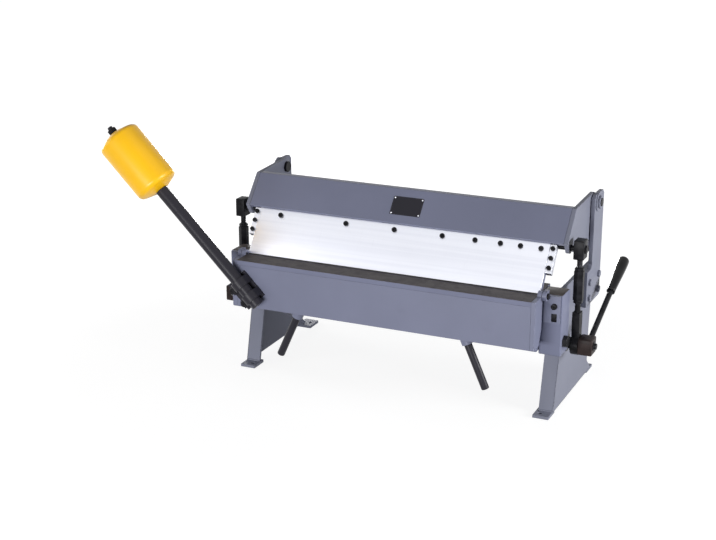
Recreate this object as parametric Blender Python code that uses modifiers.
"""Bench-top sheet metal brake, one object for each piece, in metres with Z up.

X runs along the bend line, Y to the back and Z up. Every place is worked out from the bend line, which lies
on the top front edge of the bed. The last step moves the whole brake so that its origin is the middle of its
footprint.
"""

import math

import bmesh
import bpy
from mathutils import Matrix, Vector

# Clearances
GAP = 0.0003
OVERRUN = 0.002
BORE_CLEARANCE = 0.0003
ROUND_SIDES = 20
FINE_SIDES = 32
HEX_POINTS = 12

# Overall
WORK_LENGTH = 0.915
BEND_HEIGHT = 0.375

# Bed
BED_TRIM = 0.001
BED_LENGTH = WORK_LENGTH - BED_TRIM
BED_SETBACK = 0.002
BED_DEPTH = 0.110
BED_DROP = 0.170
BED_LOWER_DEPTH = 0.060
BED_WALL = 0.014

# End blocks, which join the bed to the stands
BLOCK_FRONT = 0.019
BLOCK_DEPTH = 0.072
BLOCK_WIDTH = 0.065
BLOCK_HEIGHT = 0.180
BLOCK_WALL = 0.010
BLOCK_EDGE = 0.003

# Stands
STAND_OUTSET = 0.0405
STAND_OUT = WORK_LENGTH / 2 + STAND_OUTSET
STAND_WALL = 0.012
FLANGE_WIDTH = 0.044
FLANGE_WALL = 0.010
FLANGE_FOOT_Y = 0.056
FLANGE_RAKE = 0.044
STAND_BACK = 0.410
STAND_WAIST = 0.397
WAIST_LOW = 0.046
WAIST_HIGH = 0.150
SHOULDER_DROP = 0.095
SHOULDER_HIGH = BEND_HEIGHT - SHOULDER_DROP
FOOT_FRONT = 0.014
FOOT_BACK = 0.465
FOOT_PAD_DEPTH = 0.060
FOOT_PAD_WIDTH = 0.048
FOOT_PAD_WALL = 0.009
FOOT_HEEL = 0.440
WELD_STEP = 0.001
ANCHOR_HOLE_RADIUS = 0.0055

# Uprights and the beam's hinge
HINGE_Y = 0.340
HINGE_RISE = 0.190
HINGE_Z = BEND_HEIGHT + HINGE_RISE
UPRIGHT_WALL = 0.012
UPRIGHT_SPACER = 0.012
UPRIGHT_FRONT = 0.032
UPRIGHT_BACK = 0.064
UPRIGHT_TOP = 0.025
UPRIGHT_CHAMFER = 0.012
UPRIGHT_FOOT_FRONT = 0.262
UPRIGHT_FOOT_STEP = 0.005
UPRIGHT_FOOT_DEPTH = 0.108
UPRIGHT_FOOT_TOP = BEND_HEIGHT - UPRIGHT_FOOT_STEP
UPRIGHT_FOOT_BOTTOM = UPRIGHT_FOOT_TOP - UPRIGHT_FOOT_DEPTH
HINGE_BOSS_RADIUS = 0.028
HINGE_BOSS_LENGTH = 0.004
HINGE_PIN_RADIUS = 0.012
HINGE_HEAD_RADIUS = 0.017
HINGE_HEAD_LENGTH = 0.008
HINGE_NUT_FLATS = 0.036
HINGE_NUT_LENGTH = 0.006
UPRIGHT_BOLT_RADIUS = 0.006
UPRIGHT_BOLT_FLATS = 0.019
UPRIGHT_BOLT_HEAD = 0.0075
UPRIGHT_BOLT_EDGE = 0.024
UPRIGHT_BOLT_RISE = 0.048

# Nose bar
NOSE_LENGTH = WORK_LENGTH
NOSE_GAP = 0.0015
NOSE_SETBACK = 0.010
NOSE_SLANT = 0.1484
NOSE_LEAN = math.radians(35.5)
NOSE_WALL = 0.008
NOSE_SCREW_SHARES = (0.0788, 0.316, 0.486, 0.650, 0.7595, 0.843, 0.908, 0.974)
NOSE_SCREW_DOWN = 0.018
NOSE_SCREW_RADIUS = 0.004
NOSE_SCREW_HEAD_RADIUS = 0.0075
NOSE_SCREW_HEAD = 0.0045
NOSE_SCREW_BITE = 0.009

# Clamping beam
HOLDER_WALL = 0.014
HOLDER_FOOT = 0.010
END_PLATE_WALL = 0.012
BEAM_SIDE_GAP = 0.0023
BEAM_HALF = STAND_OUT + UPRIGHT_SPACER - BEAM_SIDE_GAP - END_PLATE_WALL
BOX_WALL = 0.008
LIP_PROUD = 0.006
LIP_GAP = 0.0006
SLOPE_LENGTH = 0.1125
SLOPE_LEAN = math.radians(41)
BOX_TOP_DEPTH = 0.022
BOX_BACK_RAKE = 0.020
RIB_WALL = 0.010
RIB_COUNT = 5
RIB_PITCH = NOSE_LENGTH / RIB_COUNT
RIB_DROP = 0.072
END_PLATE_LUG = 0.027
END_PLATE_BOSS = 0.017
END_PLATE_BACK = 0.030
END_PLATE_RISE = 0.044
NOSE_BLOCK_WIDTH = 0.018
NOSE_BLOCK_LOW = 0.062
NOSE_BLOCK_STEP = 0.0015
NOSE_BLOCK_SETBACK = 0.002
NOSE_BLOCK_BOLTS = 3
NOSE_BLOCK_PITCH = 0.029
NOSE_BLOCK_BOLT_FLATS = 0.011
NOSE_BLOCK_BOLT_HEAD = 0.005
NOSE_BLOCK_BOLT_RADIUS = 0.003
NOSE_BLOCK_BOLT_BITE = 0.010

# Tie rods
ROD_OUTSET = 0.038
ROD_X = STAND_OUT + ROD_OUTSET
ROD_Y = 0.124
TRUNNION_DROP = 0.0094
TRUNNION_RADIUS = 0.008
TRUNNION_INSET = 0.076
TRUNNION_NUT_FLATS = 0.022
TRUNNION_NUT_LENGTH = 0.004
TRUNNION_TIP = 0.001
YOKE_WIDTH = 0.030
YOKE_DEPTH = 0.040
YOKE_HEIGHT = 0.055
YOKE_EDGE = 0.002
ROD_RADIUS = 0.008
ROD_BITE = 0.013
BUCKLE_FLATS = 0.027
BUCKLE_LENGTH = 0.088
BUCKLE_RISE = 0.046
BUCKLE_TOP = BEND_HEIGHT + BUCKLE_RISE
JAM_NUT_FLATS = 0.024
JAM_NUT_LENGTH = 0.008
STRAP_WIDTH = 0.022
STRAP_SHANK_DEPTH = 0.030
STRAP_SHANK_DROP = 0.077
STRAP_SHANK_TOP = BEND_HEIGHT - STRAP_SHANK_DROP
STRAP_WALL = 0.0078
STRAP_SETBACK = 0.0008

# Clamping levers, with their eccentric shafts
JOURNAL_DROP = 0.176
JOURNAL_Z = BEND_HEIGHT - JOURNAL_DROP
JOURNAL_RADIUS = 0.020
JOURNAL_RUNNING_GAP = 0.0014
ECCENTRICITY = 0.0052
ECCENTRIC_ANGLE = math.radians(-45)
SHAFT_RADIUS = 0.012
SHAFT_PROUD = 0.006
SHAFT_INNER_END = STAND_OUT - STAND_WALL - SHAFT_PROUD
BEARING_RADIUS = 0.026
BEARING_LENGTH = 0.015
THRUST_RADIUS = 0.017
HUB_WIDTH = 0.042
LEVER_OUTSET = 0.024
HUB_SIDE = 0.048
HUB_EDGE = 0.003
HUB_BOLT_FLATS = 0.017
HUB_BOLT_HEAD = 0.007
HUB_WASHER_RADIUS = 0.014
HUB_WASHER_WALL = 0.0015
LEVER_ANGLE = math.radians(21.5)
LEVER_RADIUS = 0.008
LEVER_ROOT = 0.015
LEVER_REACH = 0.405
GRIP_LENGTH = 0.160
GRIP_NECK_RADIUS = 0.0125
GRIP_BELLY_RADIUS = 0.0150
GRIP_END_RADIUS = 0.0170
GRIP_DOME = 0.010
GRIP_DOME_SHARES = ((0.55, 0.15), (0.88, 0.50), (1.00, 1.00))
GRIP_END_SHARE = 0.80
GRIP_BELLY_SHARE = 0.45
GRIP_NECK_SHARE = 0.12

# Bending leaf
LEAF_LENGTH = WORK_LENGTH
LEAF_DEPTH = 0.0645
LEAF_CLEARANCE = 0.0008
LEAF_HEIGHT = 0.142
LEAF_WALL = 0.012
EDGE_BAR_WALL = 0.014
LEAF_LOWER_DEPTH = 0.046
CHEEK_WALL = 0.012
EAR_RADIUS = 0.014
PIVOT_RADIUS = 0.006
PIVOT_HEAD_RADIUS = 0.009
PIVOT_HEAD_LENGTH = 0.004

# Hinge brackets of the leaf
BRACKET_SIDE_GAP = 0.0014
BRACKET_EAR_WALL = 0.012
BRACKET_WIDTH = 0.046
BRACKET_WALL = 0.009
BRACKET_HEIGHT = 0.080
BRACKET_BOLT_IN = 0.030
BRACKET_BOLT_DOWN = 0.030
BRACKET_BOLT_RADIUS = 0.005
BRACKET_BOLT_FLATS = 0.014
BRACKET_BOLT_HEAD = 0.006
WINDOW_WIDTH = 0.016
WINDOW_HEIGHT = 0.024
WINDOW_DOWN = 0.052
ADJUSTER_GAP = 0.0006
ADJUSTER_SINK = 0.002
BLOCK_BOLT_FLATS = 0.030
BLOCK_BOLT_HEAD = 0.013
BLOCK_BOLT_IN = 0.024
BLOCK_BOLT_UP = 0.040

# Bending handles
HANDLE_INSET = 0.1955
HANDLE_X = LEAF_LENGTH / 2 - HANDLE_INSET
HANDLE_SPLAY = math.radians(24)
HANDLE_RADIUS = 0.0115
HANDLE_DROP = 0.146
HANDLE_ROOT = 0.030
SOCKET_RADIUS = 0.017
SOCKET_DROP = 0.018
SOCKET_ROOT = 0.012

# Counterweight and its arm
ARM_INSET = 0.0795
ARM_FOOT_DROP = 0.116
ARM_FOOT_X = ARM_INSET - LEAF_LENGTH / 2
ARM_FOOT_Z = BEND_HEIGHT - ARM_FOOT_DROP
ARM_LEAN = math.radians(45)
ARM_RADIUS = 0.019
ARM_TAIL = 0.008
ARM_PLATE_WALL = 0.008
STUD_RADIUS = 0.008
WEIGHT_START = 0.443
WEIGHT_LENGTH = 0.218
WEIGHT_RADIUS = 0.067
WEIGHT_DOME = 0.010
WEIGHT_ROUND = 0.016
STUD_END_GAP = 0.026
WEIGHT_NUT_FLATS = 0.026
WEIGHT_NUT_LENGTH = 0.014
WEIGHT_NUT_GAP = 0.004
SADDLE_START = 0.004
SADDLE_END = 0.100
SADDLE_FAR = 0.050
CLAMP_STARTS = (0.012, 0.062)
CLAMP_NAMES = ("inner", "outer")
CLAMP_LENGTH = 0.026
CLAMP_WALL = 0.006
CLAMP_EAR_WALL = 0.008
CLAMP_BOLT_RADIUS = 0.005
CLAMP_BOLT_ACROSS = 0.0385
CLAMP_BOLT_FLATS = 0.017
CLAMP_BOLT_HEAD = 0.009
CLAMP_BOLT_BITE = 0.006

# Places that several pieces share
BLOCK_IN = BED_LENGTH / 2 + GAP
BLOCK_OUT = BLOCK_IN + BLOCK_WIDTH
BLOCK_BACK = BLOCK_FRONT + BLOCK_DEPTH
BLOCK_BOTTOM = BEND_HEIGHT - BLOCK_HEIGHT
UPRIGHT_IN = STAND_OUT + GAP + UPRIGHT_SPACER
UPRIGHT_OUT = UPRIGHT_IN + UPRIGHT_WALL
LEAF_BOTTOM = BEND_HEIGHT - LEAF_HEIGHT
LEAF_FRONT = -LEAF_CLEARANCE - LEAF_DEPTH
CHEEK_IN = LEAF_LENGTH / 2 + GAP
CHEEK_OUT = CHEEK_IN + CHEEK_WALL
EAR_IN = CHEEK_OUT + BRACKET_SIDE_GAP
EAR_OUT = EAR_IN + BRACKET_EAR_WALL
END_PLATE_IN = BEAM_HALF + GAP
END_PLATE_OUT = END_PLATE_IN + END_PLATE_WALL
SHAFT_Y = ROD_Y - ECCENTRICITY * math.cos(ECCENTRIC_ANGLE)
SHAFT_Z = JOURNAL_Z - ECCENTRICITY * math.sin(ECCENTRIC_ANGLE)
STRAP_IN = ROD_X - STRAP_WIDTH / 2
STRAP_OUT = ROD_X + STRAP_WIDTH / 2
HUB_IN = STRAP_OUT + GAP + GAP
HUB_OUT = HUB_IN + HUB_WIDTH
STRAP_BORE = JOURNAL_RADIUS + JOURNAL_RUNNING_GAP


def nose_point(along, behind):
    """A point in the YZ plane, along the nose's slant and behind its front face."""
    y = NOSE_SETBACK + along * math.sin(NOSE_LEAN) + behind * math.cos(NOSE_LEAN)
    z = BEND_HEIGHT + NOSE_GAP + along * math.cos(NOSE_LEAN) - behind * math.sin(NOSE_LEAN)
    return y, z


SEAT = NOSE_WALL + GAP
LIP = nose_point(NOSE_SLANT + LIP_GAP, -LIP_PROUD)
BOX_SEAT = nose_point(NOSE_SLANT + LIP_GAP, SEAT)
BOX_BOTTOM = BOX_SEAT[1]
SLOPE_TOP = (LIP[0] + SLOPE_LENGTH * math.sin(SLOPE_LEAN), LIP[1] + SLOPE_LENGTH * math.cos(SLOPE_LEAN))
BOX_BACK_TOP = (SLOPE_TOP[0] + BOX_TOP_DEPTH, SLOPE_TOP[1])
BOX_BACK_BOTTOM = (BOX_BACK_TOP[0] - BOX_BACK_RAKE, BOX_BOTTOM)
TRUNNION_Z = BOX_BOTTOM - TRUNNION_DROP

ALONG_X = Matrix(((0, 0, 1), (1, 0, 0), (0, 1, 0))).to_4x4()
NOSE_INWARD = Vector((0, math.cos(NOSE_LEAN), -math.sin(NOSE_LEAN)))
ARM_AXIS = Vector((-math.sin(ARM_LEAN), 0, math.cos(ARM_LEAN)))
ARM_FOOT = Vector((ARM_FOOT_X, LEAF_FRONT - GAP - ARM_PLATE_WALL - GAP - ARM_RADIUS, ARM_FOOT_Z))
ARM_SIDE = ARM_AXIS.cross(Vector((0, 1, 0))).normalized()
ARM_FACE = ARM_AXIS.cross(ARM_SIDE)
LEVER_AXIS = Vector((0, math.cos(LEVER_ANGLE), math.sin(LEVER_ANGLE)))

SIDES = (("left", -1), ("right", 1))


def clear_scene():
    for item in list(bpy.data.objects):
        bpy.data.objects.remove(item, do_unlink=True)


def make_collection(name, is_cutter):
    collection = bpy.data.collections.new(name)
    bpy.context.scene.collection.children.link(collection)
    collection.hide_render = is_cutter
    return collection


clear_scene()
PARTS = make_collection("sheet_metal_brake", False)
CUTTERS = make_collection("cutters", True)


def make_material(name, colour, roughness, metallic):
    material = bpy.data.materials.new(name)
    material.use_nodes = True
    shader = material.node_tree.nodes["Principled BSDF"]
    shader.inputs["Base Color"].default_value = (*colour, 1)
    shader.inputs["Roughness"].default_value = roughness
    shader.inputs["Metallic"].default_value = metallic
    material.diffuse_color = (*colour, 1)
    return material


GREY_SHARES = (0.20, 0.22, 0.28)
PLATE_SHARES = (0.30, 0.32, 0.38)
BRIGHT_SHARES = (0.78, 0.78, 0.84)
BLACK_SHARES = (0.02, 0.02, 0.022)
BROWN_SHARES = (0.12, 0.10, 0.09)
DARK_SHARES = (0.08, 0.08, 0.085)
YELLOW_SHARES = (0.93, 0.42, 0.02)
RUBBER_SHARES = (0.015, 0.015, 0.015)


class Finish:
    """Colour, roughness and metallic value, made into a new material for each piece."""

    def __init__(self, colour, roughness, metallic):
        self.colour = colour
        self.roughness = roughness
        self.metallic = metallic

    def material(self, name):
        return make_material(name, self.colour, self.roughness, self.metallic)


GREY_PAINT = Finish(GREY_SHARES, 0.45, 0)
PLATE_PAINT = Finish(PLATE_SHARES, 0.5, 0)
GROUND_STEEL = Finish(BRIGHT_SHARES, 0.3, 1)
BLACK_STEEL = Finish(BLACK_SHARES, 0.4, 0.6)
BROWN_STEEL = Finish(BROWN_SHARES, 0.5, 0.7)
DARK_PAINT = Finish(DARK_SHARES, 0.4, 0)
YELLOW_PAINT = Finish(YELLOW_SHARES, 0.35, 0)
GRIP_PLASTIC = Finish(RUBBER_SHARES, 0.25, 0)


def make_empty(name, location, parent):
    empty = bpy.data.objects.new(name, None)
    empty.empty_display_size = BED_WALL
    PARTS.objects.link(empty)
    empty.parent = parent
    offset = parent.matrix_world.translation if parent else Vector()
    empty.location = Vector(location) - offset
    bpy.context.view_layer.update()
    return empty


ROOT = make_empty("brake_root", (0, 0, 0), None)
BEAM_PIVOT = make_empty("beam_pivot", (0, HINGE_Y, HINGE_Z), ROOT)
LEAF_PIVOT = make_empty("leaf_pivot", (0, 0, BEND_HEIGHT), ROOT)
ROD_PIVOTS = {}
LEVER_PIVOTS = {}
for side_name, side_sign in SIDES:
    rod_place = (side_sign * ROD_X, ROD_Y, TRUNNION_Z)
    ROD_PIVOTS[side_name] = make_empty("tie_rod_pivot_" + side_name, rod_place, BEAM_PIVOT)
    lever_place = (side_sign * ROD_X, SHAFT_Y, SHAFT_Z)
    LEVER_PIVOTS[side_name] = make_empty("lever_pivot_" + side_name, lever_place, ROOT)


def put(mesh, name, parent, finish, collection=None):
    """Adds a mesh, whose points are in the brake's frame, as an object that hangs on an empty."""
    item = bpy.data.objects.new(name, mesh)
    (collection or PARTS).objects.link(item)
    origin = parent.matrix_world.translation.copy() if parent else Vector()
    mesh.transform(Matrix.Translation(-origin))
    item.parent = parent
    if finish:
        mesh.materials.clear()
        mesh.materials.append(finish.material(name))
    mesh.shade_smooth()
    mesh.set_sharp_from_angle(angle=math.radians(35))
    return item


def put_bmesh(bm, name, parent, finish, collection=None):
    bmesh.ops.recalc_face_normals(bm, faces=bm.faces)
    mesh = bpy.data.meshes.new(name)
    bm.to_mesh(mesh)
    bm.free()
    return put(mesh, name, parent, finish, collection)


def cutter(item, parent):
    """Hides a shape that only cuts or adds to another one."""
    item.hide_render = True
    item.display_type = "WIRE"
    return item


def combine(target, tool, operation):
    modifier = target.modifiers.new(operation.title() + "_" + tool.name, "BOOLEAN")
    modifier.operation = operation
    modifier.solver = "EXACT"
    modifier.object = cutter(tool, target.parent)


def round_edges(item, width, segments=2, angle=math.radians(40)):
    modifier = item.modifiers.new("Rounded edges", "BEVEL")
    modifier.width = width
    modifier.segments = segments
    modifier.limit_method = "ANGLE"
    modifier.angle_limit = angle
    modifier.harden_normals = False


def frame_towards(start, direction):
    """A matrix whose Z axis runs along the direction, from the start."""
    turn = Vector(direction).to_track_quat("Z", "Y").to_matrix().to_4x4()
    return Matrix.Translation(Vector(start)) @ turn


def add_rod(bm, start, end, radius, sides=ROUND_SIDES):
    start, end = Vector(start), Vector(end)
    length = (end - start).length
    place = frame_towards((start + end) / 2, end - start)
    bmesh.ops.create_cone(bm, cap_ends=True, segments=sides, radius1=radius, radius2=radius, depth=length,
                          matrix=place)


def add_box(bm, low, high):
    low, high = Vector(low), Vector(high)
    size = high - low
    place = Matrix.Translation((low + high) / 2) @ Matrix.Diagonal((*size, 1))
    bmesh.ops.create_cube(bm, size=1, matrix=place)


def hexagonise(verts, centre, flats):
    """Turns a ring of twelve points, two for each side, into a hexagon."""
    for index, vert in enumerate(verts):
        offset = vert.co - centre
        reach = flats / 2 if index % 2 else flats / 2 / math.cos(math.pi / 6)
        vert.co = centre + offset.normalized() * reach


def append(bm, part):
    """Moves a small mesh's geometry into a bigger one."""
    mesh = bpy.data.meshes.new("piece")
    bmesh.ops.recalc_face_normals(part, faces=part.faces)
    part.to_mesh(mesh)
    part.free()
    bm.from_mesh(mesh)
    bpy.data.meshes.remove(mesh)


def add_bolt(bm, seat, inward, flats, head, radius, length, is_round=False):
    """A bolt whose head stands on the seat and whose shank runs inward."""
    part = bmesh.new()
    reach = flats / 2
    bmesh.ops.create_cone(part, cap_ends=True, segments=HEX_POINTS, radius1=reach, radius2=reach, depth=head,
                          matrix=Matrix.Translation((0, 0, -head / 2)))
    if not is_round:
        for height in (-head, 0):
            ring = [vert for vert in part.verts if abs(vert.co.z - height) < head / 4]
            ring.sort(key=lambda vert: math.atan2(vert.co.y, vert.co.x))
            hexagonise(ring, Vector((0, 0, height)), flats)
    under = max(part.faces, key=lambda face: face.calc_center_median().z * len(face.verts))
    made = bmesh.ops.extrude_face_region(part, geom=[under])
    ring = [item for item in made["geom"] if isinstance(item, bmesh.types.BMVert)]
    bmesh.ops.delete(part, geom=[under], context="FACES_ONLY")
    for vert in ring:
        vert.co = Vector((vert.co.x, vert.co.y, 0)).normalized() * radius
    end_face = [face for face in part.faces if all(vert in ring for vert in face.verts)]
    made = bmesh.ops.extrude_face_region(part, geom=end_face)
    bmesh.ops.delete(part, geom=end_face, context="FACES_ONLY")
    tip = [item for item in made["geom"] if isinstance(item, bmesh.types.BMVert)]
    bmesh.ops.translate(part, verts=tip, vec=(0, 0, length))
    part.transform(frame_towards(seat, inward))
    append(bm, part)


def outline_mesh(name, outlines, thickness, place):
    """A flat outline, with any holes in it, drawn as a filled curve and made a closed mesh."""
    curve = bpy.data.curves.new(name, "CURVE")
    curve.dimensions = "2D"
    curve.fill_mode = "BOTH"
    curve.extrude = thickness / 2
    for outline in outlines:
        spline = curve.splines.new("POLY")
        spline.points.add(len(outline) - 1)
        for point, (across, up) in zip(spline.points, outline):
            point.co = (across, up, 0, 1)
        spline.use_cyclic_u = True
    drawn = bpy.data.objects.new(name, curve)
    CUTTERS.objects.link(drawn)
    drawn.matrix_world = place
    bpy.context.view_layer.update()
    graph = bpy.context.evaluated_depsgraph_get()
    mesh = bpy.data.meshes.new_from_object(drawn.evaluated_get(graph))
    matrix = drawn.matrix_world.copy()
    bpy.data.objects.remove(drawn)
    bpy.data.curves.remove(curve)
    bm = bmesh.new()
    bm.from_mesh(mesh)
    bmesh.ops.remove_doubles(bm, verts=bm.verts, dist=GAP / 30)
    bm.transform(matrix)
    bmesh.ops.recalc_face_normals(bm, faces=bm.faces)
    bm.to_mesh(mesh)
    bm.free()
    return mesh


def side_outline(name, outlines, x_from, x_to, parent, finish, collection=None):
    """An outline in the YZ plane, extruded along X."""
    place = Matrix.Translation(((x_from + x_to) / 2, 0, 0)) @ ALONG_X
    mesh = outline_mesh(name, outlines, abs(x_to - x_from), place)
    return put(mesh, name, parent, finish, collection)


def rod_tool(name, start, end, radius, parent, sides=ROUND_SIDES):
    bm = bmesh.new()
    add_rod(bm, start, end, radius, sides)
    return put_bmesh(bm, name, parent, None, CUTTERS)


def box_tool(name, low, high, parent):
    bm = bmesh.new()
    add_box(bm, low, high)
    return put_bmesh(bm, name, parent, None, CUTTERS)


def bolt_tool(name, seat, inward, flats, head, radius, length, parent, is_round=False):
    """A bolt that is joined to the piece it stands on, its head sunk a little into the seat."""
    inward = Vector(inward).normalized()
    bm = bmesh.new()
    add_bolt(bm, Vector(seat) + inward * GAP, inward, flats, head, radius, length, is_round)
    return put_bmesh(bm, name, parent, None, CUTTERS)


def hex_prism(name, start, direction, flats, length, parent, finish=None, collection=None):
    part = bmesh.new()
    made = bmesh.ops.create_cone(part, cap_ends=True, segments=HEX_POINTS, radius1=flats, radius2=flats,
                                 depth=length, matrix=Matrix.Translation((0, 0, length / 2)))
    for height in (0, length):
        ring = [vert for vert in made["verts"] if abs(vert.co.z - height) < length / 4]
        ring.sort(key=lambda vert: math.atan2(vert.co.y, vert.co.x))
        hexagonise(ring, Vector((0, 0, height)), flats)
    part.transform(frame_towards(start, direction))
    return put_bmesh(part, name, parent, finish, collection)


def nut_tool(name, start, direction, flats, length, parent):
    """A plain hexagon that is joined to the rod through it."""
    return hex_prism(name, start, direction, flats, length, parent, None, CUTTERS)


def nut(name, start, direction, flats, length, bore, parent):
    """A hexagon with a bore that clears its rod."""
    item = hex_prism(name, start, direction, flats, length, parent, BLACK_STEEL)
    along = Vector(direction).normalized()
    start = Vector(start)
    hole = rod_tool(name + "_bore", start - along * OVERRUN, start + along * (length + OVERRUN),
                    bore + BORE_CLEARANCE, parent)
    combine(item, hole, "DIFFERENCE")


def arc(centre, radius, start, end, steps):
    """Points on an arc, its angles in degrees from +Y towards +Z."""
    points = []
    for step in range(steps + 1):
        angle = math.radians(start + (end - start) * step / steps)
        points.append((centre[0] + radius * math.cos(angle), centre[1] + radius * math.sin(angle)))
    return points


def inset(outline, wall):
    """Moves each side of an outline inwards by the wall."""
    result = []
    count = len(outline)
    area = sum(outline[i - 1][0] * outline[i][1] - outline[i][0] * outline[i - 1][1] for i in range(count))
    sign = 1 if area > 0 else -1
    for index in range(count):
        before = Vector(outline[index - 1])
        here = Vector(outline[index])
        after = Vector(outline[(index + 1) % count])
        first = (here - before).normalized()
        second = (after - here).normalized()
        first_normal = Vector((-first.y, first.x)) * sign
        second_normal = Vector((-second.y, second.x)) * sign
        middle = (first_normal + second_normal).normalized()
        result.append(tuple(here + middle * wall / middle.dot(first_normal)))
    return result


def turned(name, profile, start, direction, parent, finish, sides=FINE_SIDES, closed=False):
    """A profile of (radius, height) points, from the top down, turned about its axis with a Screw modifier."""
    bm = bmesh.new()
    verts = [bm.verts.new((radius, 0, height)) for radius, height in profile]
    pairs = list(zip(verts, verts[1:]))
    if closed:
        pairs.append((verts[-1], verts[0]))
    for first, second in pairs:
        bm.edges.new((first, second))
    mesh = bpy.data.meshes.new(name)
    bm.to_mesh(mesh)
    bm.free()
    item = bpy.data.objects.new(name, mesh)
    PARTS.objects.link(item)
    mesh.materials.append(finish.material(name))
    screw = item.modifiers.new("Turn", "SCREW")
    screw.axis = "Z"
    screw.steps = sides
    screw.render_steps = sides
    screw.use_merge_vertices = True
    screw.merge_threshold = GAP / 30
    screw.use_smooth_shade = True
    screw.use_normal_calculate = closed
    item.parent = parent
    place = frame_towards(start, direction)
    item.matrix_parent_inverse = Matrix.Identity(4)
    item.matrix_basis = Matrix.Translation(-parent.matrix_world.translation) @ place
    return item


def bed():
    y_front = BED_SETBACK
    y_back = y_front + BED_DEPTH
    z_top = BEND_HEIGHT
    z_low = z_top - BED_DROP
    outline = [(y_front, z_low), (y_front + BED_LOWER_DEPTH, z_low),
               (y_front + BED_LOWER_DEPTH, z_low + BED_WALL), (y_front + BED_WALL, z_low + BED_WALL),
               (y_front + BED_WALL, z_top - BED_WALL), (y_back, z_top - BED_WALL), (y_back, z_top),
               (y_front, z_top)]
    side_outline("bed", [outline], -BED_LENGTH / 2, BED_LENGTH / 2, ROOT, GREY_PAINT)


def bracket_bolt_x(sign):
    return sign * (EAR_IN + BRACKET_BOLT_IN)


def bracket_bolt_z():
    return BEND_HEIGHT - BRACKET_BOLT_DOWN


def block_bolt_seat(sign):
    return sign * BLOCK_OUT, BLOCK_FRONT + BLOCK_BOLT_IN, BLOCK_BOTTOM + BLOCK_BOLT_UP


def end_block(side, sign):
    x_in, x_out = sorted((sign * BLOCK_IN, sign * BLOCK_OUT))
    bm = bmesh.new()
    add_box(bm, (x_in, BLOCK_FRONT, BLOCK_BOTTOM), (x_out, BLOCK_BACK, BEND_HEIGHT))
    block = put_bmesh(bm, "end_block_" + side, ROOT, GREY_PAINT)
    round_edges(block, BLOCK_EDGE)
    hollow = box_tool("end_block_hollow_" + side,
                      (x_in + BLOCK_WALL, BLOCK_FRONT + BLOCK_WALL, BLOCK_BOTTOM + BLOCK_WALL),
                      (x_out - BLOCK_WALL, BLOCK_BACK + OVERRUN, BEND_HEIGHT - BLOCK_WALL), ROOT)
    combine(block, hollow, "DIFFERENCE")
    x, z = bracket_bolt_x(sign), bracket_bolt_z()
    hole = rod_tool("block_bolt_hole_" + side, (x, BLOCK_FRONT - OVERRUN, z),
                    (x, BLOCK_FRONT + BLOCK_WALL + OVERRUN, z), BRACKET_BOLT_RADIUS + BORE_CLEARANCE, ROOT)
    combine(block, hole, "DIFFERENCE")
    bolt = bolt_tool("block_bolt_" + side, block_bolt_seat(sign), (-sign, 0, 0), BLOCK_BOLT_FLATS, BLOCK_BOLT_HEAD,
                     BRACKET_BOLT_RADIUS, BLOCK_WALL / 2, ROOT)
    combine(block, bolt, "UNION")
    low, high = window_box(sign)
    inside = Vector((ADJUSTER_GAP, 0, ADJUSTER_GAP))
    low.y = BLOCK_FRONT - BRACKET_WALL + ADJUSTER_SINK
    high.y = BLOCK_FRONT + GAP
    adjuster = box_tool("bracket_adjuster_" + side, low + inside, high - inside, ROOT)
    combine(block, adjuster, "UNION")


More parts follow.
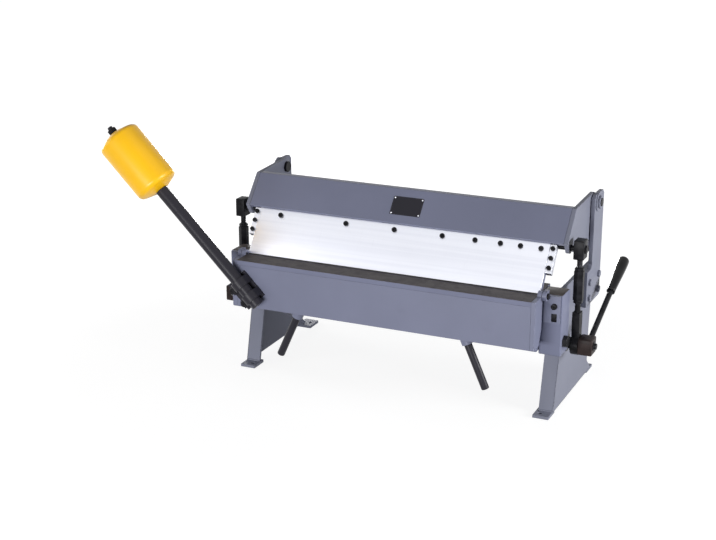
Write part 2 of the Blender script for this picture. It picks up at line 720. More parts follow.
def stand(side, sign):
    """The side plate, with the raked front flange and the two foot pads joined to it."""
    flange_top = BLOCK_BOTTOM - GAP
    flange_top_y = FLANGE_FOOT_Y + FLANGE_RAKE
    inside_low = BLOCK_BOTTOM + BLOCK_WALL + GAP
    inside_high = BEND_HEIGHT - BLOCK_WALL - GAP
    inside_front = BLOCK_FRONT + BLOCK_WALL + GAP
    behind = BLOCK_BACK + GAP
    plate_low = FOOT_PAD_WALL - WELD_STEP
    outline = [(FLANGE_FOOT_Y, plate_low), (FOOT_HEEL, plate_low), (STAND_WAIST, WAIST_LOW),
               (STAND_WAIST, WAIST_HIGH),
               (STAND_BACK, SHOULDER_HIGH), (STAND_BACK, inside_high), (inside_front, inside_high),
               (inside_front, inside_low), (behind, inside_low), (behind, flange_top),
               (flange_top_y, flange_top)]
    x_plate_in, x_plate_out = sign * (STAND_OUT - STAND_WALL), sign * STAND_OUT
    plate = side_outline("stand_" + side, [outline], x_plate_in, x_plate_out, ROOT, PLATE_PAINT)
    front = FLANGE_FOOT_Y - WELD_STEP
    flange_low = FOOT_PAD_WALL / 2
    flange_high = flange_top - WELD_STEP
    flange_outline = [(front, flange_low), (front + FLANGE_WALL, flange_low),
                      (front + FLANGE_WALL + FLANGE_RAKE, flange_high), (front + FLANGE_RAKE, flange_high)]
    flange = side_outline("stand_flange_" + side, [flange_outline], sign * (STAND_OUT - FLANGE_WIDTH),
                          sign * (STAND_OUT - WELD_STEP), ROOT, None, CUTTERS)
    combine(plate, flange, "UNION")
    pad_in = STAND_OUT - WELD_STEP - FOOT_PAD_WIDTH
    pads = (("front", FOOT_FRONT, FOOT_FRONT + FOOT_PAD_DEPTH), ("back", FOOT_BACK - FOOT_PAD_DEPTH, FOOT_BACK))
    for label, y_from, y_to in pads:
        x_from, x_to = sorted((sign * pad_in, sign * (pad_in + FOOT_PAD_WIDTH)))
        pad = box_tool("foot_pad_" + label + "_" + side, (x_from, y_from, 0), (x_to, y_to, FOOT_PAD_WALL), ROOT)
        combine(plate, pad, "UNION")
        hole_x = sign * (pad_in + FOOT_PAD_WIDTH / 3)
        hole_y = anchor_hole_y(label)
        hole = rod_tool("anchor_hole_" + label + "_" + side, (hole_x, hole_y, -OVERRUN),
                        (hole_x, hole_y, FOOT_PAD_WALL + OVERRUN), ANCHOR_HOLE_RADIUS, ROOT)
        combine(plate, hole, "DIFFERENCE")
    for index, (y, z) in enumerate(upright_bolt_places()):
        hole = rod_tool("stand_bolt_hole_%s_%d" % (side, index),
                        (x_plate_in - sign * OVERRUN, y, z), (x_plate_out + sign * OVERRUN, y, z),
                        UPRIGHT_BOLT_RADIUS + BORE_CLEARANCE, ROOT)
        combine(plate, hole, "DIFFERENCE")
    bore = rod_tool("stand_shaft_bore_" + side, (x_plate_in - sign * OVERRUN, SHAFT_Y, SHAFT_Z),
                    (x_plate_out + sign * OVERRUN, SHAFT_Y, SHAFT_Z), SHAFT_RADIUS + BORE_CLEARANCE, ROOT)
    combine(plate, bore, "DIFFERENCE")


def anchor_hole_y(label):
    if label == "front":
        return (FOOT_FRONT + FLANGE_FOOT_Y) / 2
    return FOOT_BACK - FOOT_PAD_DEPTH / 2


def upright_bolt_places():
    front = UPRIGHT_FOOT_FRONT + UPRIGHT_BOLT_EDGE
    back = HINGE_Y + UPRIGHT_BACK - UPRIGHT_BOLT_EDGE
    low = UPRIGHT_FOOT_BOTTOM + UPRIGHT_BOLT_EDGE
    return [(y, z) for y in (front, back) for z in (low, low + UPRIGHT_BOLT_RISE)]


def upright(side, sign):
    """The plate that stands on the outside of the stand and carries the beam's hinge."""
    front = HINGE_Y - UPRIGHT_FRONT
    back = HINGE_Y + UPRIGHT_BACK
    top = HINGE_Z + UPRIGHT_TOP
    outline = [(UPRIGHT_FOOT_FRONT, UPRIGHT_FOOT_BOTTOM), (back, UPRIGHT_FOOT_BOTTOM),
               (back, top - UPRIGHT_CHAMFER), (back - UPRIGHT_CHAMFER, top), (front + UPRIGHT_CHAMFER, top),
               (front, top - UPRIGHT_CHAMFER), (front, UPRIGHT_FOOT_TOP + UPRIGHT_CHAMFER),
               (front - UPRIGHT_CHAMFER, UPRIGHT_FOOT_TOP), (UPRIGHT_FOOT_FRONT, UPRIGHT_FOOT_TOP)]
    plate = side_outline("upright_" + side, [outline], sign * UPRIGHT_IN, sign * UPRIGHT_OUT, ROOT, PLATE_PAINT)
    x_from, x_to = sorted((sign * (STAND_OUT + GAP), sign * (UPRIGHT_IN + WELD_STEP)))
    spacer = box_tool("upright_spacer_" + side,
                      (x_from, UPRIGHT_FOOT_FRONT + WELD_STEP, UPRIGHT_FOOT_BOTTOM + WELD_STEP),
                      (x_to, back - WELD_STEP, UPRIGHT_FOOT_TOP - WELD_STEP), ROOT)
    combine(plate, spacer, "UNION")
    boss = rod_tool("hinge_boss_" + side, (sign * (UPRIGHT_IN + UPRIGHT_WALL / 2), HINGE_Y, HINGE_Z),
                    (sign * (UPRIGHT_OUT + HINGE_BOSS_LENGTH), HINGE_Y, HINGE_Z), HINGE_BOSS_RADIUS, ROOT, FINE_SIDES)
    combine(plate, boss, "UNION")
    bore = rod_tool("hinge_bore_" + side, (sign * (UPRIGHT_IN - OVERRUN), HINGE_Y, HINGE_Z),
                    (sign * (UPRIGHT_OUT + HINGE_BOSS_LENGTH + OVERRUN), HINGE_Y, HINGE_Z),
                    HINGE_PIN_RADIUS + BORE_CLEARANCE, ROOT)
    combine(plate, bore, "DIFFERENCE")
    for index, (y, z) in enumerate(upright_bolt_places()):
        bolt = bolt_tool("upright_bolt_%s_%d" % (side, index), (sign * UPRIGHT_OUT, y, z), (-sign, 0, 0),
                         UPRIGHT_BOLT_FLATS, UPRIGHT_BOLT_HEAD, UPRIGHT_BOLT_RADIUS,
                         UPRIGHT_WALL + UPRIGHT_SPACER + STAND_WALL + UPRIGHT_BOLT_RADIUS, ROOT)
        combine(plate, bolt, "UNION")


def hinge_pin(side, sign):
    inner_face = END_PLATE_IN - GAP - GAP
    outer_end = UPRIGHT_OUT + HINGE_BOSS_LENGTH + HINGE_NUT_LENGTH + HINGE_PIN_RADIUS / 4
    length = outer_end - inner_face
    profile = [(0, length), (HINGE_PIN_RADIUS, length), (HINGE_PIN_RADIUS, 0), (HINGE_HEAD_RADIUS, 0),
               (HINGE_HEAD_RADIUS, -HINGE_HEAD_LENGTH), (0, -HINGE_HEAD_LENGTH)]
    turned("hinge_pin_" + side, profile, (sign * inner_face, HINGE_Y, HINGE_Z), (sign, 0, 0), ROOT, BLACK_STEEL,
           ROUND_SIDES)


def hinge_bracket(side, sign):
    """The ear that carries the leaf's pivot pin, on a foot bolted to the front of the end block."""
    foot_back = BLOCK_FRONT - GAP
    foot_top = BEND_HEIGHT - GAP
    x_from, x_to = sorted((sign * EAR_IN, sign * (EAR_IN + BRACKET_WIDTH)))
    bm = bmesh.new()
    add_box(bm, (x_from, foot_back - BRACKET_WALL, foot_top - BRACKET_HEIGHT), (x_to, foot_back, foot_top))
    bracket = put_bmesh(bm, "hinge_bracket_" + side, ROOT, GREY_PAINT)
    ear = arc((0, BEND_HEIGHT), EAR_RADIUS, 90, 270, 12)
    ear += [(foot_back - GAP, BEND_HEIGHT - EAR_RADIUS), (foot_back - GAP, BEND_HEIGHT + EAR_RADIUS)]
    ear_solid = side_outline("hinge_ear_" + side, [ear], sign * EAR_IN, sign * EAR_OUT, ROOT, None, CUTTERS)
    combine(bracket, ear_solid, "UNION")
    bore = rod_tool("pivot_bore_" + side, (sign * (EAR_IN - OVERRUN), 0, BEND_HEIGHT),
                    (sign * (EAR_OUT + OVERRUN), 0, BEND_HEIGHT), PIVOT_RADIUS + BORE_CLEARANCE, ROOT)
    combine(bracket, bore, "DIFFERENCE")
    window = box_tool("bracket_window_" + side, *window_box(sign), ROOT)
    combine(bracket, window, "DIFFERENCE")
    bolt = bolt_tool("bracket_bolt_" + side, (bracket_bolt_x(sign), foot_back - BRACKET_WALL, bracket_bolt_z()),
                     (0, 1, 0), BRACKET_BOLT_FLATS, BRACKET_BOLT_HEAD, BRACKET_BOLT_RADIUS,
                     BRACKET_WALL + BLOCK_WALL, ROOT)
    combine(bracket, bolt, "UNION")


def window_box(sign):
    """Two corners of the adjuster's window, which runs through the bracket's foot."""
    middle = bracket_bolt_x(sign)
    top = BEND_HEIGHT - WINDOW_DOWN
    low = Vector((middle - WINDOW_WIDTH / 2, BLOCK_FRONT - GAP - BRACKET_WALL - OVERRUN, top - WINDOW_HEIGHT))
    high = Vector((middle + WINDOW_WIDTH / 2, BLOCK_FRONT + OVERRUN, top))
    return low, high


def leaf_pivot_pin(side, sign):
    bm = bmesh.new()
    add_bolt(bm, (sign * (EAR_OUT + GAP), 0, BEND_HEIGHT), (-sign, 0, 0), PIVOT_HEAD_RADIUS * 2,
             PIVOT_HEAD_LENGTH, PIVOT_RADIUS, EAR_OUT - CHEEK_IN, is_round=True)
    put_bmesh(bm, "leaf_pivot_pin_" + side, ROOT, BLACK_STEEL)


def hinge_nut(side, sign):
    start = UPRIGHT_OUT + HINGE_BOSS_LENGTH + GAP
    nut("hinge_nut_" + side, (sign * start, HINGE_Y, HINGE_Z), (sign, 0, 0), HINGE_NUT_FLATS, HINGE_NUT_LENGTH,
        HINGE_PIN_RADIUS, ROOT)


def shaft_bearing(side, sign):
    inner = STAND_OUT + GAP
    bm = bmesh.new()
    add_rod(bm, (sign * inner, SHAFT_Y, SHAFT_Z), (sign * (inner + BEARING_LENGTH), SHAFT_Y, SHAFT_Z),
            BEARING_RADIUS)
    bearing = put_bmesh(bm, "shaft_bearing_" + side, ROOT, GREY_PAINT)
    bore = rod_tool("bearing_bore_" + side, (sign * (inner - OVERRUN), SHAFT_Y, SHAFT_Z),
                    (sign * (inner + BEARING_LENGTH + OVERRUN), SHAFT_Y, SHAFT_Z), SHAFT_RADIUS + BORE_CLEARANCE,
                    ROOT)
    combine(bearing, bore, "DIFFERENCE")


def screw_x(share):
    return -NOSE_LENGTH / 2 + NOSE_LENGTH * share


def nose_bar():
    """The ground bar that clamps the sheet, with the screws that hold it to the beam."""
    outline = [nose_point(0, 0), nose_point(NOSE_SLANT, 0), nose_point(NOSE_SLANT, NOSE_WALL)]
    run = NOSE_WALL / math.cos(NOSE_LEAN)
    outline.append((NOSE_SETBACK + run, BEND_HEIGHT + NOSE_GAP))
    bar = side_outline("nose_bar", [outline], -NOSE_LENGTH / 2, NOSE_LENGTH / 2, BEAM_PIVOT, GROUND_STEEL)
    for index, share in enumerate(NOSE_SCREW_SHARES):
        screw = bolt_tool("nose_screw_%d" % index, (screw_x(share), *nose_screw_seat()), NOSE_INWARD,
                          NOSE_SCREW_HEAD_RADIUS * 2, NOSE_SCREW_HEAD, NOSE_SCREW_RADIUS,
                          NOSE_WALL + NOSE_SCREW_BITE, BEAM_PIVOT, is_round=True)
        combine(bar, screw, "UNION")


def nose_screw_seat():
    return nose_point(NOSE_SLANT - NOSE_SCREW_DOWN, 0)


def nose_screw_hole(name, share):
    start = Vector((screw_x(share), *nose_screw_seat()))
    end = start + NOSE_INWARD * (OVERRUN + NOSE_WALL + NOSE_SCREW_BITE + OVERRUN)
    return rod_tool(name, start, end, NOSE_SCREW_RADIUS + BORE_CLEARANCE, BEAM_PIVOT, HEX_POINTS)


def nose_holder():
    """The plate behind the nose bar, with the ribs that stiffen it under the box."""
    top = BOX_BOTTOM - GAP
    foot = nose_point(HOLDER_FOOT, SEAT)
    run = HOLDER_WALL / math.cos(NOSE_LEAN)
    rise = top - foot[1]
    shift = rise * math.tan(NOSE_LEAN)
    outline = [foot, (foot[0] + shift, top), (foot[0] + shift + run, top), (foot[0] + run, foot[1])]
    half = NOSE_LENGTH / 2
    holder = side_outline("nose_holder", [outline], -half, half, BEAM_PIVOT, GREY_PAINT)
    back_top = foot[0] + shift + run
    rib_top = top - GAP
    rib_low = top - RIB_DROP
    rib_low_y = back_top - RIB_DROP * math.tan(NOSE_LEAN)
    rib = [(back_top - run / 3, rib_top), (BOX_BACK_BOTTOM[0], rib_top), (rib_low_y, rib_low),
           (rib_low_y - run / 3, rib_low)]
    for index in range(RIB_COUNT):
        middle = (index - (RIB_COUNT - 1) / 2) * RIB_PITCH
        tool = side_outline("nose_rib_%d" % index, [rib], middle - RIB_WALL / 2, middle + RIB_WALL / 2,
                            BEAM_PIVOT, None, CUTTERS)
        combine(holder, tool, "UNION")
    for index, share in enumerate(NOSE_SCREW_SHARES):
        combine(holder, nose_screw_hole("holder_screw_hole_%d" % index, share), "DIFFERENCE")


def beam_box():
    outline = [LIP, SLOPE_TOP, BOX_BACK_TOP, BOX_BACK_BOTTOM, BOX_SEAT]
    side_outline("beam_box", [outline, inset(outline, BOX_WALL)], -BEAM_HALF, BEAM_HALF, BEAM_PIVOT, GREY_PAINT)


def beam_end_plate(side, sign):
    """The arm that closes the end of the beam and runs back to the hinge."""
    outline = [LIP, SLOPE_TOP]
    outline += arc((HINGE_Y, HINGE_Z), END_PLATE_LUG, 90, 0, 6)
    back = HINGE_Y + END_PLATE_LUG
    foot = BEND_HEIGHT + END_PLATE_RISE
    outline += [(back, foot + END_PLATE_BACK), (back - END_PLATE_BACK, foot), (HINGE_Y - UPRIGHT_BACK, foot)]
    outline += arc((ROD_Y, TRUNNION_Z), END_PLATE_BOSS, -50, -160, 8)
    plate = side_outline("beam_end_plate_" + side, [outline], sign * END_PLATE_IN, sign * END_PLATE_OUT, BEAM_PIVOT,
                         PLATE_PAINT)
    for label, y, z, radius in (("hinge", HINGE_Y, HINGE_Z, HINGE_PIN_RADIUS),
                                ("trunnion", ROD_Y, TRUNNION_Z, TRUNNION_RADIUS)):
        bore = rod_tool("end_plate_%s_bore_%s" % (label, side), (sign * (END_PLATE_IN - OVERRUN), y, z),
                        (sign * (END_PLATE_OUT + OVERRUN), y, z), radius + BORE_CLEARANCE, BEAM_PIVOT)
        combine(plate, bore, "DIFFERENCE")


def trunnion(side, sign):
    """The pin that the tie rod's yoke swings on, with the nut that keeps the yoke on."""
    nut_start = ROD_X + YOKE_WIDTH / 2 + GAP
    outer = nut_start + TRUNNION_NUT_LENGTH + TRUNNION_TIP
    bm = bmesh.new()
    add_rod(bm, (sign * (ROD_X - TRUNNION_INSET), ROD_Y, TRUNNION_Z), (sign * outer, ROD_Y, TRUNNION_Z),
            TRUNNION_RADIUS)
    pin = put_bmesh(bm, "trunnion_" + side, BEAM_PIVOT, BLACK_STEEL)
    nut = nut_tool("trunnion_nut_" + side, (sign * nut_start, ROD_Y, TRUNNION_Z), (sign, 0, 0), TRUNNION_NUT_FLATS,
                   TRUNNION_NUT_LENGTH, BEAM_PIVOT)
    combine(pin, nut, "UNION")


def nose_end_block(side, sign):
    """The short block at each end of the nose bar, bolted to the holder's end."""
    high = NOSE_SLANT - NOSE_BLOCK_STEP
    outline = [nose_point(NOSE_BLOCK_LOW, NOSE_BLOCK_SETBACK), nose_point(high, NOSE_BLOCK_SETBACK),
               nose_point(high, SEAT + HOLDER_WALL), nose_point(NOSE_BLOCK_LOW, SEAT + HOLDER_WALL)]
    inner = NOSE_LENGTH / 2 + GAP
    block = side_outline("nose_end_block_" + side, [outline], sign * inner, sign * (inner + NOSE_BLOCK_WIDTH),
                         BEAM_PIVOT, GROUND_STEEL)
    for index in range(NOSE_BLOCK_BOLTS):
        along = NOSE_BLOCK_LOW + NOSE_BLOCK_PITCH / 2 + NOSE_BLOCK_PITCH * index
        seat = (sign * (inner + NOSE_BLOCK_WIDTH / 2), *nose_point(along, NOSE_BLOCK_SETBACK))
        bolt = bolt_tool("nose_block_bolt_%s_%d" % (side, index), seat, NOSE_INWARD, NOSE_BLOCK_BOLT_FLATS,
                         NOSE_BLOCK_BOLT_HEAD, NOSE_BLOCK_BOLT_RADIUS, NOSE_BLOCK_BOLT_BITE, BEAM_PIVOT)
        combine(block, bolt, "UNION")


def yoke_bottom():
    return TRUNNION_Z - YOKE_HEIGHT / 2


def tie_rod(side, sign):
    """Yoke, upper rod, turnbuckle, jam nuts and the rod whose strap runs on the eccentric."""
    parent = ROD_PIVOTS[side]
    x = sign * ROD_X
    bottom = yoke_bottom()
    bm = bmesh.new()
    add_box(bm, (x - YOKE_WIDTH / 2, ROD_Y - YOKE_DEPTH / 2, bottom),
            (x + YOKE_WIDTH / 2, ROD_Y + YOKE_DEPTH / 2, bottom + YOKE_HEIGHT))
    yoke = put_bmesh(bm, "yoke_" + side, parent, BLACK_STEEL)
    round_edges(yoke, YOKE_EDGE)
    cross = rod_tool("yoke_bore_" + side, (x - YOKE_WIDTH, ROD_Y, TRUNNION_Z), (x + YOKE_WIDTH, ROD_Y, TRUNNION_Z),
                     TRUNNION_RADIUS + BORE_CLEARANCE, parent)
    combine(yoke, cross, "DIFFERENCE")
    hole = rod_tool("yoke_rod_hole_" + side, (x, ROD_Y, bottom - OVERRUN), (x, ROD_Y, bottom + ROD_BITE),
                    ROD_RADIUS + BORE_CLEARANCE, parent)
    combine(yoke, hole, "DIFFERENCE")

    buckle_low = BUCKLE_TOP - BUCKLE_LENGTH
    bm = bmesh.new()
    add_rod(bm, (x, ROD_Y, BUCKLE_TOP - ROD_BITE), (x, ROD_Y, bottom + ROD_BITE - GAP), ROD_RADIUS)
    put_bmesh(bm, "tie_rod_" + side, parent, BLACK_STEEL)
    nut("turnbuckle_" + side, (x, ROD_Y, buckle_low), (0, 0, 1), BUCKLE_FLATS, BUCKLE_LENGTH, ROD_RADIUS, parent)
    for label, start in (("upper", BUCKLE_TOP + GAP), ("lower", buckle_low - GAP - JAM_NUT_LENGTH)):
        nut("jam_nut_%s_%s" % (label, side), (x, ROD_Y, start), (0, 0, 1), JAM_NUT_FLATS, JAM_NUT_LENGTH,
            ROD_RADIUS, parent)

    half = STRAP_SHANK_DEPTH / 2
    centre = (ROD_Y + STRAP_SETBACK, JOURNAL_Z)
    outer = STRAP_BORE + STRAP_WALL
    spread = math.degrees(math.asin(half / outer))
    outline = [(ROD_Y - half, STRAP_SHANK_TOP)]
    outline += arc(centre, outer, 90 + spread, 450 - spread, FINE_SIDES)
    outline.append((ROD_Y + half, STRAP_SHANK_TOP))
    ring = arc(centre, STRAP_BORE, 0, 360, FINE_SIDES)[:-1]
    eye = side_outline("eye_rod_" + side, [outline, ring], sign * STRAP_IN, sign * STRAP_OUT, parent, BLACK_STEEL)
    shank = rod_tool("eye_rod_shank_" + side, (x, ROD_Y, STRAP_SHANK_TOP - ROD_BITE),
                     (x, ROD_Y, buckle_low + ROD_BITE), ROD_RADIUS, parent)
    combine(eye, shank, "UNION")


def lever(side, sign):
    """Eccentric shaft, square hub, lever and grip."""
    parent = LEVER_PIVOTS[side]
    centre = (SHAFT_Y, SHAFT_Z)
    bm = bmesh.new()
    add_rod(bm, (sign * SHAFT_INNER_END, *centre), (sign * HUB_OUT, *centre), SHAFT_RADIUS)
    shaft = put_bmesh(bm, "eccentric_shaft_" + side, parent, BLACK_STEEL)
    journal = rod_tool("journal_" + side, (sign * (STRAP_IN - GAP - WELD_STEP), ROD_Y, JOURNAL_Z),
                       (sign * (STRAP_OUT + GAP), ROD_Y, JOURNAL_Z), JOURNAL_RADIUS, parent, FINE_SIDES)
    combine(shaft, journal, "UNION")
    thrust = rod_tool("thrust_collar_" + side, (sign * (STAND_OUT + GAP + BEARING_LENGTH + GAP), *centre),
                      (sign * (STRAP_IN - GAP), *centre), THRUST_RADIUS, parent)
    combine(shaft, thrust, "UNION")

    x_from, x_to = sorted((sign * HUB_IN, sign * HUB_OUT))
    half = HUB_SIDE / 2
    bm = bmesh.new()
    add_box(bm, (x_from, SHAFT_Y - half, SHAFT_Z - half), (x_to, SHAFT_Y + half, SHAFT_Z + half))
    hub = put_bmesh(bm, "lever_hub_" + side, parent, BROWN_STEEL)
    round_edges(hub, HUB_EDGE)
    bore = rod_tool("hub_bore_" + side, (x_from - OVERRUN, *centre), (x_to + OVERRUN, *centre),
                    SHAFT_RADIUS + BORE_CLEARANCE, parent)
    combine(hub, bore, "DIFFERENCE")
    middle = Vector((sign * (HUB_IN + LEVER_OUTSET), *centre))
    socket = rod_tool("lever_socket_" + side, middle + LEVER_AXIS * (LEVER_ROOT - GAP), middle + LEVER_AXIS * HUB_SIDE,
                      LEVER_RADIUS + BORE_CLEARANCE, parent)
    combine(hub, socket, "DIFFERENCE")

    grip_start = LEVER_REACH - GRIP_LENGTH
    bm = bmesh.new()
    add_rod(bm, middle + LEVER_AXIS * LEVER_ROOT, middle + LEVER_AXIS * (LEVER_REACH - GRIP_DOME * 2), LEVER_RADIUS)
    put_bmesh(bm, "clamp_lever_" + side, parent, BLACK_STEEL)
    bore_radius = LEVER_RADIUS + BORE_CLEARANCE
    floor = GRIP_LENGTH - GRIP_DOME * 2 + GAP
    profile = [(0, GRIP_LENGTH)]
    profile += [(GRIP_END_RADIUS * out, GRIP_LENGTH - GRIP_DOME * down) for out, down in GRIP_DOME_SHARES]
    profile += [(GRIP_END_RADIUS, GRIP_LENGTH * GRIP_END_SHARE),
                (GRIP_BELLY_RADIUS, GRIP_LENGTH * GRIP_BELLY_SHARE),
                (GRIP_NECK_RADIUS, GRIP_LENGTH * GRIP_NECK_SHARE), (GRIP_NECK_RADIUS, 0), (bore_radius, 0),
                (bore_radius, floor), (0, floor)]
    turned("lever_grip_" + side, profile, middle + LEVER_AXIS * grip_start, LEVER_AXIS, parent, GRIP_PLASTIC,
           ROUND_SIDES)

    face = HUB_OUT + GAP
    bm = bmesh.new()
    add_rod(bm, (sign * face, *centre), (sign * (face + HUB_WASHER_WALL), *centre), HUB_WASHER_RADIUS)
    bolt = put_bmesh(bm, "hub_bolt_" + side, parent, BLACK_STEEL)
    head = nut_tool("hub_bolt_head_" + side, (sign * (face + HUB_WASHER_WALL / 2), *centre), (sign, 0, 0),
                    HUB_BOLT_FLATS, HUB_BOLT_HEAD, parent)
    combine(bolt, head, "UNION")


def cheek(side, sign):
    """The plate that closes the end of the leaf, with the ear that turns on the pivot pin."""
    back = -LEAF_CLEARANCE
    outline = [(LEAF_FRONT, LEAF_BOTTOM), (LEAF_FRONT + LEAF_LOWER_DEPTH, LEAF_BOTTOM),
               (back, LEAF_BOTTOM + LEAF_LOWER_DEPTH)]
    outline += arc((0, BEND_HEIGHT), EAR_RADIUS, -90, 180, 16)
    outline.append((LEAF_FRONT, BEND_HEIGHT))
    plate = side_outline("leaf_end_plate_" + side, [outline], sign * CHEEK_IN, sign * CHEEK_OUT, LEAF_PIVOT,
                         GREY_PAINT)
    bore = rod_tool("cheek_bore_" + side, (sign * (CHEEK_IN - OVERRUN), 0, BEND_HEIGHT),
                    (sign * (CHEEK_OUT + OVERRUN), 0, BEND_HEIGHT), PIVOT_RADIUS + BORE_CLEARANCE, LEAF_PIVOT)
    combine(plate, bore, "DIFFERENCE")


def leaf_handle_axis(sign):
    return Vector((sign * math.sin(HANDLE_SPLAY), 0, -math.cos(HANDLE_SPLAY)))


def leaf_handle_seat(sign):
    return Vector((sign * HANDLE_X, LEAF_FRONT + LEAF_LOWER_DEPTH / 2, LEAF_BOTTOM))


def bending_leaf():
    """A channel open to the back, with a welded socket for each handle."""
    top = BEND_HEIGHT - EDGE_BAR_WALL - GAP
    front = LEAF_FRONT
    outline = [(front, LEAF_BOTTOM), (front + LEAF_LOWER_DEPTH, LEAF_BOTTOM),
               (front + LEAF_LOWER_DEPTH, LEAF_BOTTOM + LEAF_WALL), (front + LEAF_WALL, LEAF_BOTTOM + LEAF_WALL),
               (front + LEAF_WALL, top - LEAF_WALL), (-LEAF_CLEARANCE, top - LEAF_WALL), (-LEAF_CLEARANCE, top),
               (front, top)]
    leaf = side_outline("bending_leaf", [outline], -LEAF_LENGTH / 2, LEAF_LENGTH / 2, LEAF_PIVOT, GREY_PAINT)
    for side, sign in SIDES:
        axis = leaf_handle_axis(sign)
        seat = leaf_handle_seat(sign)
        socket = rod_tool("handle_socket_" + side, seat - axis * SOCKET_ROOT, seat + axis * SOCKET_DROP,
                          SOCKET_RADIUS, LEAF_PIVOT)
        combine(leaf, socket, "UNION")
        bore = rod_tool("handle_bore_" + side, seat - axis * HANDLE_ROOT * 2, seat + axis * HANDLE_DROP,
                        HANDLE_RADIUS + BORE_CLEARANCE, LEAF_PIVOT)
        combine(leaf, bore, "DIFFERENCE")


def leaf_edge_bar():
    bm = bmesh.new()
    add_box(bm, (-LEAF_LENGTH / 2, LEAF_FRONT, BEND_HEIGHT - EDGE_BAR_WALL),
            (LEAF_LENGTH / 2, -LEAF_CLEARANCE, BEND_HEIGHT))
    put_bmesh(bm, "leaf_edge_bar", LEAF_PIVOT, BROWN_STEEL)


def bending_handle(side, sign):
    axis = leaf_handle_axis(sign)
    seat = leaf_handle_seat(sign)
    length = HANDLE_DROP / math.cos(HANDLE_SPLAY)
    tip = HANDLE_RADIUS / 4
    top = length + HANDLE_ROOT
    profile = [(0, top), (HANDLE_RADIUS - tip, top), (HANDLE_RADIUS, top - tip), (HANDLE_RADIUS, 0), (0, 0)]
    turned("bending_handle_" + side, profile, seat - axis * HANDLE_ROOT, axis, LEAF_PIVOT, DARK_PAINT, ROUND_SIDES)


def arm_point(along, across=0, out=0):
    return ARM_FOOT + ARM_AXIS * along + ARM_SIDE * across + ARM_FACE * out


def arm_frame(along, out=0):
    """A matrix with X across the arm, Y out of the leaf and Z along the arm."""
    turn = Matrix((ARM_SIDE, ARM_FACE, ARM_AXIS)).transposed().to_4x4()
    return Matrix.Translation(arm_point(along, 0, out)) @ turn


def saddle_depth():
    return -ARM_RADIUS - GAP


def clamp_outer():
    return ARM_RADIUS + GAP + CLAMP_WALL


def arm_bracket():
    """The plate on the face of the leaf that the arm is strapped to."""
    low = saddle_depth()
    near = -clamp_outer()
    outline = [(near, low - ARM_PLATE_WALL), (SADDLE_FAR, low - ARM_PLATE_WALL), (SADDLE_FAR, low), (near, low)]
    place = arm_frame((SADDLE_START + SADDLE_END) / 2)
    mesh = outline_mesh("arm_bracket", [outline], SADDLE_END - SADDLE_START, place)
    bracket = put(mesh, "arm_bracket", LEAF_PIVOT, BLACK_STEEL)
    for label, start in zip(CLAMP_NAMES, CLAMP_STARTS):
        top = arm_point(start + CLAMP_LENGTH / 2, CLAMP_BOLT_ACROSS, low + OVERRUN)
        hole = rod_tool("bracket_hole_" + label, top, top - ARM_FACE * (CLAMP_BOLT_BITE + OVERRUN + OVERRUN),
                        CLAMP_BOLT_RADIUS + BORE_CLEARANCE, LEAF_PIVOT, HEX_POINTS)
        combine(bracket, hole, "DIFFERENCE")


def arm_clamps():
    """The two hooked straps over the arm, each drawn down by a bolt into the bracket."""
    low = saddle_depth() + GAP
    inner = ARM_RADIUS + GAP
    outer = clamp_outer()
    ear = low + CLAMP_EAR_WALL
    outline = [(-outer, low), (-inner, low)]
    outline += arc((0, 0), inner, 180, 0, 16)
    outline += [(inner, low), (SADDLE_FAR, low), (SADDLE_FAR, ear), (outer, ear)]
    outline += arc((0, 0), outer, 0, 180, 16)
    for label, start in zip(CLAMP_NAMES, CLAMP_STARTS):
        middle = start + CLAMP_LENGTH / 2
        mesh = outline_mesh("arm_clamp_" + label, [outline], CLAMP_LENGTH, arm_frame(middle))
        clamp = put(mesh, "arm_clamp_" + label, LEAF_PIVOT, BLACK_STEEL)
        bolt = bolt_tool("arm_clamp_bolt_" + label, arm_point(middle, CLAMP_BOLT_ACROSS, ear), -ARM_FACE,
                         CLAMP_BOLT_FLATS, CLAMP_BOLT_HEAD, CLAMP_BOLT_RADIUS, CLAMP_EAR_WALL + CLAMP_BOLT_BITE,
                         LEAF_PIVOT)
        combine(clamp, bolt, "UNION")


def counterweight_arm():
    neck = WEIGHT_START - GAP
    end = WEIGHT_START + WEIGHT_LENGTH + STUD_END_GAP
    profile = [(0, end), (STUD_RADIUS, end), (STUD_RADIUS, neck), (ARM_RADIUS, neck), (ARM_RADIUS, -ARM_TAIL),
               (0, -ARM_TAIL)]
    turned("counterweight_arm", profile, ARM_FOOT, ARM_AXIS, LEAF_PIVOT, DARK_PAINT, ROUND_SIDES)


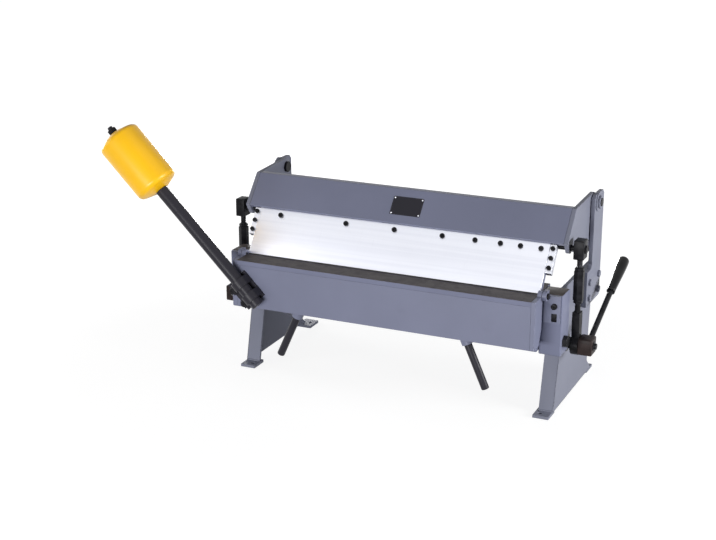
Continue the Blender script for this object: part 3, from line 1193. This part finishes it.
def weight_profile():
    """Half of the counterweight's section: shallow domes with rounded rims, and the bore for the stud."""
    half = WEIGHT_LENGTH / 2
    shoulder = half - WEIGHT_DOME
    bore = STUD_RADIUS + BORE_CLEARANCE
    rim = arc((WEIGHT_RADIUS - WEIGHT_ROUND, shoulder - WEIGHT_ROUND), WEIGHT_ROUND, 72, 0, 5)
    flat = ARM_RADIUS + CLAMP_EAR_WALL
    top = [(bore, half), (flat, half)]
    upper = top + rim
    lower = [(radius, -height) for radius, height in reversed(upper)]
    return upper + lower


def counterweight():
    middle = arm_point(WEIGHT_START + WEIGHT_LENGTH / 2)
    turned("counterweight", weight_profile(), middle, ARM_AXIS, LEAF_PIVOT, YELLOW_PAINT, FINE_SIDES, closed=True)


def counterweight_nut():
    start = WEIGHT_START + WEIGHT_LENGTH + WEIGHT_NUT_GAP
    nut("counterweight_nut", arm_point(start), ARM_AXIS, WEIGHT_NUT_FLATS, WEIGHT_NUT_LENGTH, STUD_RADIUS,
        LEAF_PIVOT)


def centre_footprint():
    """Moves the brake so that its origin is the middle of its footprint, on the bench."""
    bpy.context.view_layer.update()
    graph = bpy.context.evaluated_depsgraph_get()
    lows = Vector((math.inf,) * 3)
    highs = -lows
    for item in PARTS.objects:
        if item.type != "MESH":
            continue
        shown = item.evaluated_get(graph)
        for vert in shown.data.vertices:
            place = shown.matrix_world @ vert.co
            lows = Vector(map(min, lows, place))
            highs = Vector(map(max, highs, place))
    middle = (lows + highs) / 2
    ROOT.location = (-middle.x, -middle.y, -lows.z)
    bpy.context.view_layer.update()
    print("size", [round(value, 4) for value in highs - lows], "moved", [round(v, 5) for v in ROOT.location])


def main():
    bed()
    for side, sign in SIDES:
        end_block(side, sign)
        stand(side, sign)
        upright(side, sign)
        hinge_pin(side, sign)
        hinge_bracket(side, sign)
        shaft_bearing(side, sign)
        beam_end_plate(side, sign)
        trunnion(side, sign)
        nose_end_block(side, sign)
        tie_rod(side, sign)
        lever(side, sign)
        cheek(side, sign)
        bending_handle(side, sign)
        hinge_nut(side, sign)
        leaf_pivot_pin(side, sign)
    beam_box()
    nose_holder()
    nose_bar()
    bending_leaf()
    leaf_edge_bar()
    arm_bracket()
    arm_clamps()
    counterweight_arm()
    counterweight()
    counterweight_nut()
    centre_footprint()


main()
